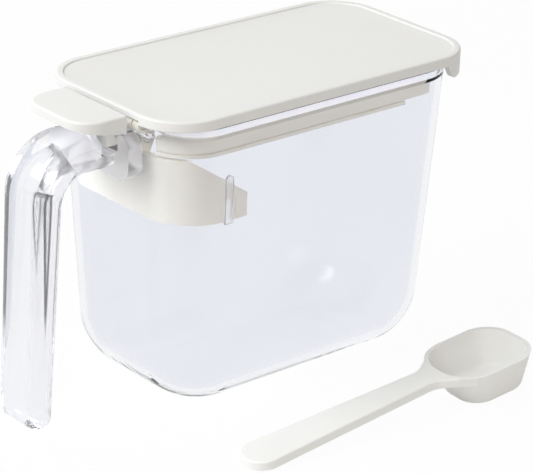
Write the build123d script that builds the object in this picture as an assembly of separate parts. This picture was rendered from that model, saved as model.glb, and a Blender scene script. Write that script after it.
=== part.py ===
from build123d import *
import math
import os

# Seasoning container: a clear tapered pot with a clear bar handle, a white hinged lid,
# a thumb lever behind the lid, a white hinge bracket inside the handle end, and a loose
# measuring spoon that lies on the table beside it.
# Millimetres. The origin is on the table under the middle of the pot, +Z is up,
# the handle points to -X and the lid opens at the +X end.

# Pot, outer sizes at the table and at the rim
POT_X = -2.05
POT_HEIGHT = 101.1
POT_BASE_LENGTH = 111.0
POT_BASE_WIDTH = 68.6
POT_BASE_CORNER = 22.3
POT_RIM_LENGTH = 122.3
POT_RIM_WIDTH = 70.4
POT_RIM_CORNER = 17.0
POT_BASE_ROUND = 20.0
POT_WALL = 2.2
POT_FLOOR = 2.6
POT_INNER_ROUND = 17.5
RIM_REBATE_Z = 97.5
RIM_REBATE_DEPTH = 0.6

# Pad on the end wall that carries the handle, and the notches for hinge and lever
BOSS_FACE_X = -68.0
BOSS_BOTTOM_Z = 82.0
BOSS_TOP_Z = 97.2
BOSS_WIDTH = 34.0
BOSS_CORNER = 5.0
BOSS_OVERLAP = 4.0
HINGE_NOTCH_WIDTH = 41.0
HINGE_NOTCH_Z = 97.0
LEVER_SLOT_WIDTH = 23.0
LEVER_SLOT_Z = 91.0
NOTCH_END_X = -50.0

# Upright ribs inside the long walls that hold the hinge bracket
RIB_X = -40.3
RIB_WIDTH = 3.0
RIB_DEPTH = 1.1
RIB_BOTTOM_Z = 67.2
RIB_TOP_Z = 83.5
RIB_TOP_ROUND = 1.2

# Handle bar
HANDLE_WIDTH = 20.0
HANDLE_ARM_TOP_Z = 96.4
HANDLE_ARM_BOTTOM_Z = 84.5
HANDLE_TOP_X = -97.2
HANDLE_TOP_DEPTH = 11.3
HANDLE_FOOT_X = -100.1
HANDLE_FOOT_DEPTH = 9.4
HANDLE_OUTER_BEND = 19.0
HANDLE_INNER_BEND = 9.0
HANDLE_FOOT_Z = 0.8
HANDLE_FOOT_ROUND = 4.5
HANDLE_EDGE_ROUND = 4.3
HANDLE_STEP_X = -72.8
HANDLE_STEP_Z = 90.0
HANDLE_STEP_ROUND = 1.5

# Hinge bracket, a U that follows the inside of the handle end
BRACKET_GAP = 0.25
BRACKET_WALL = 2.0
BRACKET_BOTTOM_Z = 68.3
BRACKET_TOP_Z = 95.8
BRACKET_NOSE_X = -33.0
BRACKET_NOSE_Z = 76.3
BRACKET_SHOULDER_X = -57.6
BRACKET_SHOULDER_Z = 93.0
BRACKET_SHOULDER_ROUND = 3.0
BRACKET_BACK_X = -70.0
BRACKET_SLOT_WIDTH = 3.4
BRACKET_SLOT_TOP_Z = 75.2
BRACKET_GROOVE_DEPTH = 1.15
BRACKET_GROOVE_SIDE = 0.1
LEVER_GAP_Z = 90.9
BAND_GAP_Z = 90.4
EAR_INNER_Y = 11.6
EAR_THICKNESS = 3.0
EAR_RADIUS = 2.3
EAR_REAR_X = -60.0
EAR_FRONT_X = -58.4
EAR_BEND_Z = 97.7
EAR_BOTTOM_Z = 88.0
EAR_BEVEL = 1.6
EAR_FRONT_DROP = 1.0

# Lid hinge and lever pivot, both along Y
LID_AXIS_X = -63.0
LID_AXIS_Z = 100.4
LEVER_AXIS_X = -58.0
LEVER_AXIS_Z = 94.3
PIN_RADIUS = 1.25
PIN_CLEARANCE = 0.05
PIN_CHAMFER = 0.25
PIN_END_GAP = 0.2

# Lid cover
LID_LENGTH = 131.6
LID_WIDTH = 71.6
LID_CORNER = 17.2
LID_TOP_Z = 105.0
LID_UNDER_Z = 101.4
LID_PANEL_Z = 104.45
LID_PANEL_THICKNESS = 1.45
LID_RIM_WIDTH = 2.5
LID_WALL = 3.4
LID_TOP_ROUND = 0.7
LIP_BOTTOM_Z = 96.7
LIP_THICKNESS = 1.8
LIP_START_ANGLE = 20.0
LIP_START_SLOPE = 1.5
LIP_START_ROUND = 2.0
LID_REAR_CUT_X = -50.0

# Lid frame, the band that shows through the pot's walls
BAND_LENGTH = 116.1
BAND_WIDTH = 65.1
BAND_CORNER = 15.5
BAND_THICKNESS = 1.9
BAND_TOP_Z = 97.4
BAND_GROOVE_Z = 92.9
BAND_GROOVE_DEPTH = 0.7
BAND_FLANGE_THICKNESS = 1.5
BAND_END_X = 45.4
LEDGE_TOP_Z = 92.4
LEDGE_BOTTOM_Z = 91.2
LEDGE_END_X = 33.9
NECK_FRONT_X = 53.6
NECK_REAR_X = -54.6
NECK_WIDTH = 60.0
NECK_CORNER = 12.0
NECK_THICKNESS = 2.0
LUG_INNER_Y = 15.1
LUG_THICKNESS = 3.0
LUG_RADIUS = 2.3
LUG_STEP_X = -58.2
LUG_STEP_Z = 101.4
LUG_FRONT_DEPTH = 1.0
LUG_TOP_STEP = 0.6
LUG_BEVEL = 1.6
LID_REAR_GAP = 38.0

# Lid seal, a soft ring round the neck
SEAL_BOTTOM_Z = 97.55
SEAL_TOP_Z = 101.2
SEAL_REAR_X = -57.4
SEAL_FRONT_X = 56.2
SEAL_EDGE_ROUND = 0.8
SEAL_NECK_GAP = 0.05

# Thumb lever
TAB_ROOT_X = -68.2
TAB_TIP_X = -85.2
TAB_WIDTH = 32.6
TAB_CORNER = 9.3
TAB_TOP_Z = 104.4
TAB_ROOT_BOTTOM_Z = 98.4
TAB_TIP_BOTTOM_Z = 101.4
TAB_EDGE_ROUND = 0.8
NECK_BAR_WIDTH = 21.0
NECK_BAR_BOTTOM_Z = 93.0
NECK_BAR_TOP_Z = 95.6
NECK_POST_REAR_X = -71.4
NECK_POST_FRONT_X = -68.4
NECK_POST_OVERLAP = 1.5
LEVER_HUB_RADIUS = 2.2
LEVER_NOSE_X = -52.8
LEVER_PIN_INNER_Y = 7.4

# Measuring spoon, drawn along its own length and then laid beside the pot
SPOON_LENGTH = 113.0
SPOON_BOWL_REAR = 77.5
SPOON_BOWL_WIDTH = 27.4
SPOON_BOWL_DEPTH = 13.6
SPOON_BOWL_REAR_CORNER = 12.5
SPOON_BOWL_FRONT_CORNER = 10.5
SPOON_FOOT_REAR = 86.0
SPOON_FOOT_FRONT = 109.3
SPOON_FOOT_WIDTH = 20.0
SPOON_FOOT_REAR_CORNER = 8.0
SPOON_FOOT_FRONT_CORNER = 7.0
SPOON_FOOT_ROUND = 3.0
SPOON_INNER_ROUND = 2.5
SPOON_WALL = 1.5
SPOON_TIP_WIDTH = 14.8
SPOON_TIP_ROUND = 6.4
SPOON_NECK_X = 74.0
SPOON_NECK_WIDTH = 9.0
SPOON_NECK_ROUND = 9.0
SPOON_ROOT_X = 85.0
SPOON_ROOT_WIDTH = 24.8
SPOON_HANDLE_THICKNESS = 3.0
SPOON_EDGE_ROUND = 0.5
SPOON_YAW = -3.5
SPOON_TIP_X = -58.0
SPOON_TIP_Y = -65.0

# Working sizes for cutting solids, larger than the pot, and the least step between two faces
MARGIN = 5.0
WIDE_X = 80.0
WIDE_Y = 40.0
SLIVER = 0.1
OVERLAP = 0.01


def rounded_section(length, width, corner, x, z):
    return Pos(x, 0, z) * RectangleRounded(length, width, corner)


def span_box(x0, x1, y0, y1, z0, z1):
    box = Box(x1 - x0, y1 - y0, z1 - z0)
    return Pos((x0 + x1) / 2, (y0 + y1) / 2, (z0 + z1) / 2) * box


def side_plate(face_xz, y0, y1):
    # A face drawn with x to the right and z up, made solid between two values of y
    placed = Plane.XZ * face_xz
    solid = extrude(placed, amount=y1 - y0, dir=(0, 1, 0))
    return Pos(0, y0, 0) * solid


def pot_shape(inset, z0, z1):
    # The pot's tapered outline, drawn in by inset, between two heights
    def at(z):
        part_way = z / POT_HEIGHT
        length = POT_BASE_LENGTH + (POT_RIM_LENGTH - POT_BASE_LENGTH) * part_way
        width = POT_BASE_WIDTH + (POT_RIM_WIDTH - POT_BASE_WIDTH) * part_way
        corner = POT_BASE_CORNER + (POT_RIM_CORNER - POT_BASE_CORNER) * part_way
        return rounded_section(length - 2 * inset, width - 2 * inset, corner - inset, POT_X, z)

    return loft([at(z0).face(), at(z1).face()], ruled=True)


def lowest_edges(solid):
    return solid.edges().group_by(Axis.Z)[0]


def pin_bore(x, z, y0, y1):
    cylinder = Cylinder(PIN_RADIUS + PIN_CLEARANCE, y1 - y0)
    return Pos(x, (y0 + y1) / 2, z) * Rot(90, 0, 0) * cylinder


def make_container_body():
    outer = pot_shape(0, 0, POT_HEIGHT)
    outer = fillet(lowest_edges(outer), POT_BASE_ROUND)
    inner = pot_shape(POT_WALL, POT_FLOOR, POT_HEIGHT + MARGIN)
    inner = fillet(lowest_edges(inner), POT_INNER_ROUND)
    rebate = pot_shape(POT_WALL - RIM_REBATE_DEPTH, RIM_REBATE_Z, POT_HEIGHT + MARGIN)

    half = BOSS_WIDTH / 2
    boss_end_x = POT_X - POT_RIM_LENGTH / 2 + BOSS_OVERLAP
    boss = span_box(BOSS_FACE_X, boss_end_x, -half, half, BOSS_BOTTOM_Z, BOSS_TOP_Z)
    boss = fillet(boss.edges().filter_by(Axis.X), BOSS_CORNER)
    body = outer + boss - inner - rebate

    wall_middle_y = -POT_RIM_WIDTH / 2 + POT_WALL / 2
    rib = span_box(
        RIB_X - RIB_WIDTH / 2, RIB_X + RIB_WIDTH / 2, wall_middle_y, wall_middle_y + MARGIN,
        RIB_BOTTOM_Z, RIB_TOP_Z,
    )
    rib = rib - pot_shape(POT_WALL + RIB_DEPTH, RIB_BOTTOM_Z - MARGIN, RIB_TOP_Z + MARGIN)
    rib = fillet(rib.edges().filter_by(Axis.Y).group_by(Axis.Z)[-1], RIB_TOP_ROUND)
    body = body + rib + mirror(rib, Plane.XZ)

    half = HINGE_NOTCH_WIDTH / 2
    notch = span_box(BOSS_FACE_X - MARGIN, NOTCH_END_X, -half, half, HINGE_NOTCH_Z, POT_HEIGHT + MARGIN)
    half = LEVER_SLOT_WIDTH / 2
    slot = span_box(BOSS_FACE_X - MARGIN, NOTCH_END_X, -half, half, LEVER_SLOT_Z, POT_HEIGHT + MARGIN)
    return body - notch - slot


def make_handle():
    outline = [
        (BOSS_FACE_X, HANDLE_ARM_TOP_Z),
        (HANDLE_TOP_X, HANDLE_ARM_TOP_Z),
        (HANDLE_FOOT_X, HANDLE_FOOT_Z),
        (HANDLE_FOOT_X + HANDLE_FOOT_DEPTH, HANDLE_FOOT_Z),
        (HANDLE_TOP_X + HANDLE_TOP_DEPTH, HANDLE_ARM_BOTTOM_Z),
        (BOSS_FACE_X, HANDLE_ARM_BOTTOM_Z),
    ]
    profile = make_face(Polyline(*outline, close=True))

    def corner(x, z):
        return profile.vertices().sort_by_distance((x, z, 0))[0]

    profile = fillet(corner(*outline[1]), HANDLE_OUTER_BEND)
    profile = fillet(corner(*outline[4]), HANDLE_INNER_BEND)
    profile = fillet([corner(*outline[2]), corner(*outline[3])], HANDLE_FOOT_ROUND)
    bar = side_plate(profile, -HANDLE_WIDTH / 2, HANDLE_WIDTH / 2)
    flanks = bar.faces().sort_by(Axis.Y)
    long_edges = [e for face in (flanks[0], flanks[-1]) for e in face.edges()]
    long_edges = [e for e in long_edges if e.center().X < BOSS_FACE_X - SLIVER]
    bar = fillet(long_edges, HANDLE_EDGE_ROUND)
    half = HANDLE_WIDTH / 2
    step = span_box(HANDLE_STEP_X, BOSS_FACE_X + MARGIN, -half - 1, half + 1, HANDLE_STEP_Z, LID_TOP_Z)
    step_edge = step.edges().filter_by(Axis.Y).group_by(Axis.Z)[0].sort_by(Axis.X)[0]
    step = fillet(step_edge, HANDLE_STEP_ROUND)
    return bar - step


def make_hinge_bracket():
    z0 = BRACKET_BOTTOM_Z - MARGIN
    z1 = BRACKET_TOP_Z + MARGIN
    wide = WIDE_Y
    shell = pot_shape(POT_WALL + BRACKET_GAP, z0, z1)
    shell = shell - pot_shape(POT_WALL + BRACKET_GAP + BRACKET_WALL, z0, z1)
    shoulder = (BRACKET_SHOULDER_X, BRACKET_SHOULDER_Z)
    profile = make_face(Polyline(
        (BRACKET_BACK_X, BRACKET_BOTTOM_Z), (BRACKET_NOSE_X, BRACKET_BOTTOM_Z),
        (BRACKET_NOSE_X, BRACKET_NOSE_Z), shoulder, (BRACKET_SHOULDER_X, BRACKET_TOP_Z),
        (BRACKET_BACK_X, BRACKET_TOP_Z), close=True,
    ))
    profile = fillet(profile.vertices().sort_by_distance((*shoulder, 0))[0], BRACKET_SHOULDER_ROUND)
    bracket = shell & side_plate(profile, -wide, wide)

    # The end plate is lowered over the lever, and the corners behind the band are cut down
    half = EAR_INNER_Y - SLIVER
    bracket = bracket - span_box(BRACKET_BACK_X, NOTCH_END_X, -half, half, LEVER_GAP_Z, z1)
    ear_outer = EAR_INNER_Y + EAR_THICKNESS
    for y0, y1 in ((-wide, -ear_outer), (ear_outer, wide)):
        bracket = bracket - span_box(BRACKET_BACK_X, NOTCH_END_X, y0, y1, BAND_GAP_Z, z1)

    # Slots open at the bottom, with a shallow groove above each, take the pot's two ribs
    x0 = RIB_X - BRACKET_SLOT_WIDTH / 2
    x1 = RIB_X + BRACKET_SLOT_WIDTH / 2
    slots = span_box(x0, x1, -wide, wide, z0, BRACKET_SLOT_TOP_Z)
    grooves = span_box(x0 - BRACKET_GROOVE_SIDE, x1 + BRACKET_GROOVE_SIDE, -wide, wide, z0, z1)
    grooves = grooves - pot_shape(POT_WALL + BRACKET_GAP + BRACKET_GROOVE_DEPTH, z0, z1)
    bracket = bracket - slots - grooves

    # Two ears carry the lid's hinge pins outside the wall and the lever's pins inside it
    ear = make_face(Polyline(
        (EAR_REAR_X, EAR_BOTTOM_Z), (EAR_REAR_X, EAR_BEND_Z), (LID_AXIS_X, LID_AXIS_Z - EAR_RADIUS),
        (LID_AXIS_X + EAR_BEVEL, LID_AXIS_Z + EAR_BEVEL), (EAR_FRONT_X, LID_AXIS_Z - EAR_FRONT_DROP),
        (EAR_FRONT_X, EAR_BEND_Z), (LEVER_AXIS_X + EAR_BEVEL, LEVER_AXIS_Z + EAR_BEVEL),
        (LEVER_AXIS_X + EAR_RADIUS, LEVER_AXIS_Z), (LEVER_AXIS_X, EAR_BOTTOM_Z), close=True,
    ))
    lever_boss = Pos(LEVER_AXIS_X, LEVER_AXIS_Z) * Circle(EAR_RADIUS)
    lever_boss = lever_boss & Pos(EAR_REAR_X + MARGIN, LEVER_AXIS_Z) * Rectangle(2 * MARGIN, 2 * MARGIN)
    ear = ear + Pos(LID_AXIS_X, LID_AXIS_Z) * Circle(EAR_RADIUS) + lever_boss
    for y0 in (-ear_outer, EAR_INNER_Y):
        bracket = bracket + side_plate(ear, y0, y0 + EAR_THICKNESS)
    for x, z in ((LID_AXIS_X, LID_AXIS_Z), (LEVER_AXIS_X, LEVER_AXIS_Z)):
        bracket = bracket - pin_bore(x, z, -ear_outer - 1, ear_outer + 1)
    return bracket


def make_pins(x, z, y0, y1):
    pins = []
    for side in (-1, 1):
        pin = Cylinder(PIN_RADIUS, y1 - y0)
        pin = chamfer(pin.edges(), PIN_CHAMFER)
        pins.append(Pos(x, side * (y0 + y1) / 2, z) * Rot(90, 0, 0) * pin)
    return Compound(children=pins)


def make_lid_cover():
    outline = rounded_section(LID_LENGTH, LID_WIDTH, LID_CORNER, 0, LID_UNDER_Z)
    cover = extrude(outline, LID_TOP_Z - LID_UNDER_Z)
    cover = fillet(cover.edges().group_by(Axis.Z)[-1], LID_TOP_ROUND)
    inset = 2 * LID_RIM_WIDTH
    panel = rounded_section(LID_LENGTH - inset, LID_WIDTH - inset, LID_CORNER - LID_RIM_WIDTH, 0, LID_PANEL_Z)
    cover = cover - extrude(panel, MARGIN)

    # The underside is hollow, and open at the back where ears and lugs meet the pins
    under_top = LID_PANEL_Z - LID_PANEL_THICKNESS
    inset = 2 * LID_WALL
    hollow = rounded_section(
        LID_LENGTH - inset, LID_WIDTH - inset, LID_CORNER - LID_WALL, 0, LID_UNDER_Z - MARGIN
    )
    cover = cover - extrude(hollow, under_top - LID_UNDER_Z + MARGIN)
    half = LID_REAR_GAP / 2
    cover = cover - span_box(-WIDE_X, LID_REAR_CUT_X, -half, half, LID_UNDER_Z - MARGIN, under_top)

    # A deeper lip round the far end is for lifting the lid by hand
    outline = rounded_section(LID_LENGTH, LID_WIDTH, LID_CORNER, 0, LIP_BOTTOM_Z)
    lip = extrude(outline, LID_UNDER_Z - LIP_BOTTOM_Z)
    inset = 2 * LIP_THICKNESS
    core = rounded_section(
        LID_LENGTH - inset, LID_WIDTH - inset, LID_CORNER - LIP_THICKNESS, 0, LIP_BOTTOM_Z - MARGIN
    )
    lip = lip - extrude(core, 4 * MARGIN)
    lip_x = LID_LENGTH / 2 - LID_CORNER * (1 - math.sin(math.radians(LIP_START_ANGLE)))
    low_start = (lip_x + LIP_START_SLOPE, LIP_BOTTOM_Z)
    side = make_face(Polyline(
        (lip_x - LIP_START_SLOPE, LID_UNDER_Z), low_start, (WIDE_X, LIP_BOTTOM_Z), (WIDE_X, LID_UNDER_Z),
        close=True,
    ))
    side = fillet(side.vertices().sort_by_distance((*low_start, 0))[0], LIP_START_ROUND)
    return cover + (lip & side_plate(side, -WIDE_Y, WIDE_Y))


def neck_section(inset, z):
    length = NECK_FRONT_X - NECK_REAR_X
    centre = (NECK_FRONT_X + NECK_REAR_X) / 2
    return rounded_section(length - 2 * inset, NECK_WIDTH - 2 * inset, NECK_CORNER - inset, centre, z)


def band_section(inset, z):
    return rounded_section(BAND_LENGTH - 2 * inset, BAND_WIDTH - 2 * inset, BAND_CORNER - inset, POT_X, z)


def make_lid_frame():
    def ring(z0, z1, end_x, groove):
        height = z1 - z0
        wall = extrude(band_section(groove, z0), height) - extrude(band_section(BAND_THICKNESS, z0), height)
        return wall & span_box(-WIDE_X, end_x, -WIDE_Y, WIDE_Y, z0, z1)

    under_top = LID_PANEL_Z - LID_PANEL_THICKNESS
    flange_z = BAND_TOP_Z - BAND_FLANGE_THICKNESS
    band = ring(BAND_GROOVE_Z, BAND_TOP_Z, BAND_END_X, 0)
    joint = ring(LEDGE_TOP_Z - OVERLAP, BAND_GROOVE_Z + OVERLAP, LEDGE_END_X, BAND_GROOVE_DEPTH)
    ledge = ring(LEDGE_BOTTOM_Z, LEDGE_TOP_Z, LEDGE_END_X, 0)
    flange = extrude(band_section(BAND_THICKNESS / 2, flange_z), BAND_FLANGE_THICKNESS)
    flange = flange & span_box(-WIDE_X, BAND_END_X, -WIDE_Y, WIDE_Y, flange_z, BAND_TOP_Z)
    cross_half = BAND_WIDTH / 2 - BAND_THICKNESS / 2
    cross_wall = span_box(
        BAND_END_X - BAND_THICKNESS, BAND_END_X, -cross_half, cross_half, BAND_GROOVE_Z, BAND_TOP_Z
    )
    frame = band + joint + ledge + flange + cross_wall
    rear_half = HINGE_NOTCH_WIDTH / 2
    cut_x = NECK_REAR_X + OVERLAP
    frame = frame - span_box(-WIDE_X, cut_x, -rear_half, rear_half, LEDGE_BOTTOM_Z - MARGIN, LID_TOP_Z)
    neck = extrude(neck_section(0, flange_z), under_top - flange_z)
    neck_bore = extrude(neck_section(NECK_THICKNESS, flange_z - MARGIN), LID_TOP_Z - flange_z + MARGIN)
    frame = frame + neck - neck_bore

    lug_front_x = NECK_REAR_X + LUG_FRONT_DEPTH
    for side in (-1, 1):
        lug = Pos(LID_AXIS_X, LID_AXIS_Z) * Circle(LUG_RADIUS)
        lug = lug + make_face(Polyline(
            (LID_AXIS_X, LID_AXIS_Z - LUG_RADIUS), (LUG_STEP_X, LID_AXIS_Z - LUG_RADIUS),
            (LUG_STEP_X, LUG_STEP_Z), (lug_front_x, LUG_STEP_Z), (lug_front_x, under_top),
            (LID_AXIS_X + LUG_TOP_STEP, under_top), (LID_AXIS_X - LUG_BEVEL, LID_AXIS_Z + LUG_BEVEL),
            (LID_AXIS_X, LID_AXIS_Z), close=True,
        ))
        y0 = LUG_INNER_Y if side > 0 else -LUG_INNER_Y - LUG_THICKNESS
        plate = side_plate(lug, y0, y0 + LUG_THICKNESS)
        frame = frame + (plate - pin_bore(LID_AXIS_X, LID_AXIS_Z, y0 - 1, y0 + LUG_THICKNESS + 1))
    return frame


def make_lid_seal():
    # A soft ring round the neck, which closes against the inside of the pot's rim
    height = SEAL_TOP_Z - SEAL_BOTTOM_Z
    outline = rounded_section(
        SEAL_FRONT_X - SEAL_REAR_X, BAND_WIDTH, BAND_CORNER, (SEAL_FRONT_X + SEAL_REAR_X) / 2, SEAL_BOTTOM_Z
    )
    seal = extrude(outline, height)
    outer_edges = seal.edges().group_by(Axis.Z)
    seal = fillet(outer_edges[0] + outer_edges[-1], SEAL_EDGE_ROUND)
    return seal - extrude(neck_section(-SEAL_NECK_GAP, SEAL_BOTTOM_Z - MARGIN), height + 2 * MARGIN)


def make_thumb_lever():
    half = TAB_WIDTH / 2
    plan = Pos((TAB_ROOT_X + TAB_TIP_X) / 2, 0) * Rectangle(TAB_ROOT_X - TAB_TIP_X, TAB_WIDTH)
    plan = fillet(plan.vertices().group_by(Axis.X)[0], TAB_CORNER)
    tab = Pos(0, 0, TAB_ROOT_BOTTOM_Z - MARGIN) * extrude(plan, 3 * MARGIN)
    side = make_face(Polyline(
        (TAB_ROOT_X, TAB_ROOT_BOTTOM_Z), (TAB_TIP_X, TAB_TIP_BOTTOM_Z), (TAB_TIP_X, TAB_TOP_Z),
        (TAB_ROOT_X, TAB_TOP_Z), close=True,
    ))
    tab = tab & side_plate(side, -half - 1, half + 1)
    top_edges = tab.edges().group_by(Axis.Z)[-1]
    tab = fillet([e for e in top_edges if e.center().X < TAB_ROOT_X - SLIVER], TAB_EDGE_ROUND)

    half = NECK_BAR_WIDTH / 2
    post_top = TAB_ROOT_BOTTOM_Z + NECK_POST_OVERLAP
    post = span_box(NECK_POST_REAR_X, NECK_POST_FRONT_X, -half, half, NECK_BAR_BOTTOM_Z, post_top)
    bar = span_box(NECK_POST_REAR_X, LEVER_NOSE_X, -half, half, NECK_BAR_BOTTOM_Z, NECK_BAR_TOP_Z)
    hub = Pos(LEVER_AXIS_X, 0, LEVER_AXIS_Z) * Rot(90, 0, 0) * Cylinder(LEVER_HUB_RADIUS, NECK_BAR_WIDTH)
    lever = tab + post + bar + hub
    for side in (-1, 1):
        y0, y1 = sorted((side * LEVER_PIN_INNER_Y, side * (half + 1)))
        lever = lever - pin_bore(LEVER_AXIS_X, LEVER_AXIS_Z, y0, y1)
    return lever


def spoon_section(rear, front, width, rear_corner, front_corner, z):
    section = Pos((rear + front) / 2, 0) * Rectangle(front - rear, width)
    section = fillet(section.vertices().group_by(Axis.X)[0], rear_corner)
    section = fillet(section.vertices().group_by(Axis.X)[-1], front_corner)
    return Pos(0, 0, z) * section


def spoon_bowl(inset, depth, foot_round):
    rim = spoon_section(
        SPOON_BOWL_REAR + inset, SPOON_LENGTH - inset, SPOON_BOWL_WIDTH - 2 * inset,
        SPOON_BOWL_REAR_CORNER - inset, SPOON_BOWL_FRONT_CORNER - inset, 0,
    )
    foot = spoon_section(
        SPOON_FOOT_REAR + inset, SPOON_FOOT_FRONT - inset, SPOON_FOOT_WIDTH - 2 * inset,
        SPOON_FOOT_REAR_CORNER - inset, SPOON_FOOT_FRONT_CORNER - inset, -depth,
    )
    return fillet(lowest_edges(loft([foot.face(), rim.face()], ruled=True)), foot_round)


def spoon_handle():
    tip_half = SPOON_TIP_WIDTH / 2
    neck_half = SPOON_NECK_WIDTH / 2
    root_half = SPOON_ROOT_WIDTH / 2
    plan = make_face(Polyline(
        (0, -tip_half), (SPOON_NECK_X, -neck_half), (SPOON_ROOT_X, -root_half),
        (SPOON_ROOT_X, root_half), (SPOON_NECK_X, neck_half), (0, tip_half), close=True,
    ))
    plan = fillet(plan.vertices().group_by(Axis.X)[0], SPOON_TIP_ROUND)
    waist = [v for v in plan.vertices() if abs(v.X - SPOON_NECK_X) < SLIVER]
    plan = fillet(waist, SPOON_NECK_ROUND)
    bar = Pos(0, 0, -SPOON_HANDLE_THICKNESS) * extrude(plan, SPOON_HANDLE_THICKNESS)
    top_edges = bar.edges().group_by(Axis.Z)[-1]
    return fillet([e for e in top_edges if e.center().X < SPOON_NECK_X], SPOON_EDGE_ROUND)


def make_measuring_spoon():
    outer = spoon_bowl(0, SPOON_BOWL_DEPTH, SPOON_FOOT_ROUND)
    inner = spoon_bowl(SPOON_WALL, SPOON_BOWL_DEPTH - SPOON_WALL, SPOON_INNER_ROUND)
    spoon = outer + spoon_handle() - inner

    # It rests on the handle's tip and on the rear of the bowl's foot
    rise = SPOON_BOWL_DEPTH - SPOON_HANDLE_THICKNESS
    tilt = math.degrees(math.atan2(rise, SPOON_FOOT_REAR + SPOON_FOOT_ROUND))
    spoon = Pos(SPOON_TIP_X, SPOON_TIP_Y, 0) * Rot(0, 0, SPOON_YAW) * Rot(0, -tilt, 0) * spoon
    return Pos(0, 0, -spoon.bounding_box().min.Z) * spoon


def main():
    os.makedirs("parts", exist_ok=True)
    pieces = {
        "container_body": make_container_body(),
        "handle": make_handle(),
        "hinge_bracket": make_hinge_bracket(),
        "lid_cover": make_lid_cover(),
        "lid_frame": make_lid_frame(),
        "lid_seal": make_lid_seal(),
        "thumb_lever": make_thumb_lever(),
        "measuring_spoon": make_measuring_spoon(),
        "lid_hinge_pins": make_pins(
            LID_AXIS_X, LID_AXIS_Z, EAR_INNER_Y + PIN_END_GAP, LUG_INNER_Y + LUG_THICKNESS - PIN_END_GAP
        ),
        "lever_pivot_pins": make_pins(
            LEVER_AXIS_X, LEVER_AXIS_Z, LEVER_PIN_INNER_Y + PIN_END_GAP,
            EAR_INNER_Y + EAR_THICKNESS - PIN_END_GAP,
        ),
    }
    for name, piece in pieces.items():
        export_step(piece, f"parts/{name}.step")


main()
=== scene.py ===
import math

import bmesh
import bpy
from mathutils import Matrix, Vector


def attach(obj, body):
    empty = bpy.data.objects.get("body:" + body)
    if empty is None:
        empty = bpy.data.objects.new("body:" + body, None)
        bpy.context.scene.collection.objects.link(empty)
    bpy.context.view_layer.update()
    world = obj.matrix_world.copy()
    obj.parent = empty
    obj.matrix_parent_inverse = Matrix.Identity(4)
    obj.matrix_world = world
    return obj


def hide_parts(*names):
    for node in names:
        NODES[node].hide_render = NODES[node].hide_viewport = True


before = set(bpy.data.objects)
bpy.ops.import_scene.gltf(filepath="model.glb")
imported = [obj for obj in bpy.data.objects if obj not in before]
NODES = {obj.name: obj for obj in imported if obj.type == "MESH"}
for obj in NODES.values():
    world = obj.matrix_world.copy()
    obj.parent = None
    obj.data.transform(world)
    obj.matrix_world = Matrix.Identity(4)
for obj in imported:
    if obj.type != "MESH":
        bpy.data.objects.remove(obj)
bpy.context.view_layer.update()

bl_info = {
    "name": "Seasoning Container",
    "version": (1, 0, 0),
    "blender": (4, 5, 0),
    "location": "View3D > Sidebar > Seasoning",
    "description": "Dresses a clear seasoning container, its flip lid and its spoon, on a white table",
    "category": "Object",
}

# Pad, ribs and notches of the clear pot, in metres, close to those of the solids
BOSS_LOW = (-0.068, -0.017, 0.082)
BOSS_HIGH = (-0.0592, 0.017, 0.0972)
BOSS_CORNER = 0.005
BOSS_CORNER_STEPS = 12
RIB_X = -0.0403
RIB_WIDTH = 0.003
RIB_LOW_Z = 0.0672
RIB_HIGH_Z = 0.0835
RIB_REACH = 0.0034
RIB_TOP_STEPS = 10
HINGE_NOTCH = ((-0.073, -0.0205, 0.097), (-0.05, 0.0205, 0.106))
LEVER_SLOT = ((-0.073, -0.0115, 0.091), (-0.05, 0.0115, 0.106))

# The pot's smallest upright corner, the short slope to its thinner rim, and the cut's end above the rim
LEAST_CORNER = 0.0008
REBATE_HALF_SLOPE = 0.0008
REBATE_START_EXTRA = 0.0001
ABOVE_RIM = 0.005

# The bar's end face moves this far into the pad, so that the two become one
BAR_OVERLAP = 0.002
BAR_END_REACH = 0.0001

# Faces beyond these places are the bar's or the pad's, and get that resin's material slot
BAR_END_X = -0.0738
PAD_END_X = -0.0636
FACE_SLACK = 0.0002
BAR_SLOT = 1
PAD_SLOT = 2

# The lip's outline from the side, and the cuts that shape lid and lip
LIP_SIDE = (
    (0.05068, 0.1019), (0.05068, 0.1014), (0.0526, 0.0982), (0.0532, 0.0974), (0.0541, 0.0969),
    (0.0553, 0.0967), (0.08, 0.0967), (0.08, 0.1019),
)
LIP_OVERLAP = 0.0003
LIP_CORE_DROP = 0.002
LIP_SIDE_HALF_WIDTH = 0.04
LID_REAR_X = (-0.08, -0.05)
LID_REAR_HALF = 0.019

# Angles in degrees past which an edge stays sharp
POT_CREASE = 20.0
LID_CREASE = 32.0
COPY_CREASE = 28.0
SEAL_CREASE = 40.0

# Points closer than this, in metres, become one
MERGE = 2e-6
FINE_MERGE = 1e-6

SEAL_LOOP_STEPS = 16
SEAL_SECTION_STEPS = 5

# The middle part of a noise's range, where most of its values lie, and what it does to the gloss
NOISE_BAND = (0.3, 0.7)
SATIN_DRIFT = 0.04
SEAL_ROUGHNESS = (0.34, 0.44)

# The table reaches this far each way and lies a hair lower than the parts
TABLE_HALF = 3.0
TABLE_DROP = 0.00005

# How much of the sheet's look is plain white, and how bright that is before and past its edge
SHEET_SHARE = 0.965
SHEET_GLOW = (1.0, 0.02)
SENSOR_WIDTH = 36.0


# Settings


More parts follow.
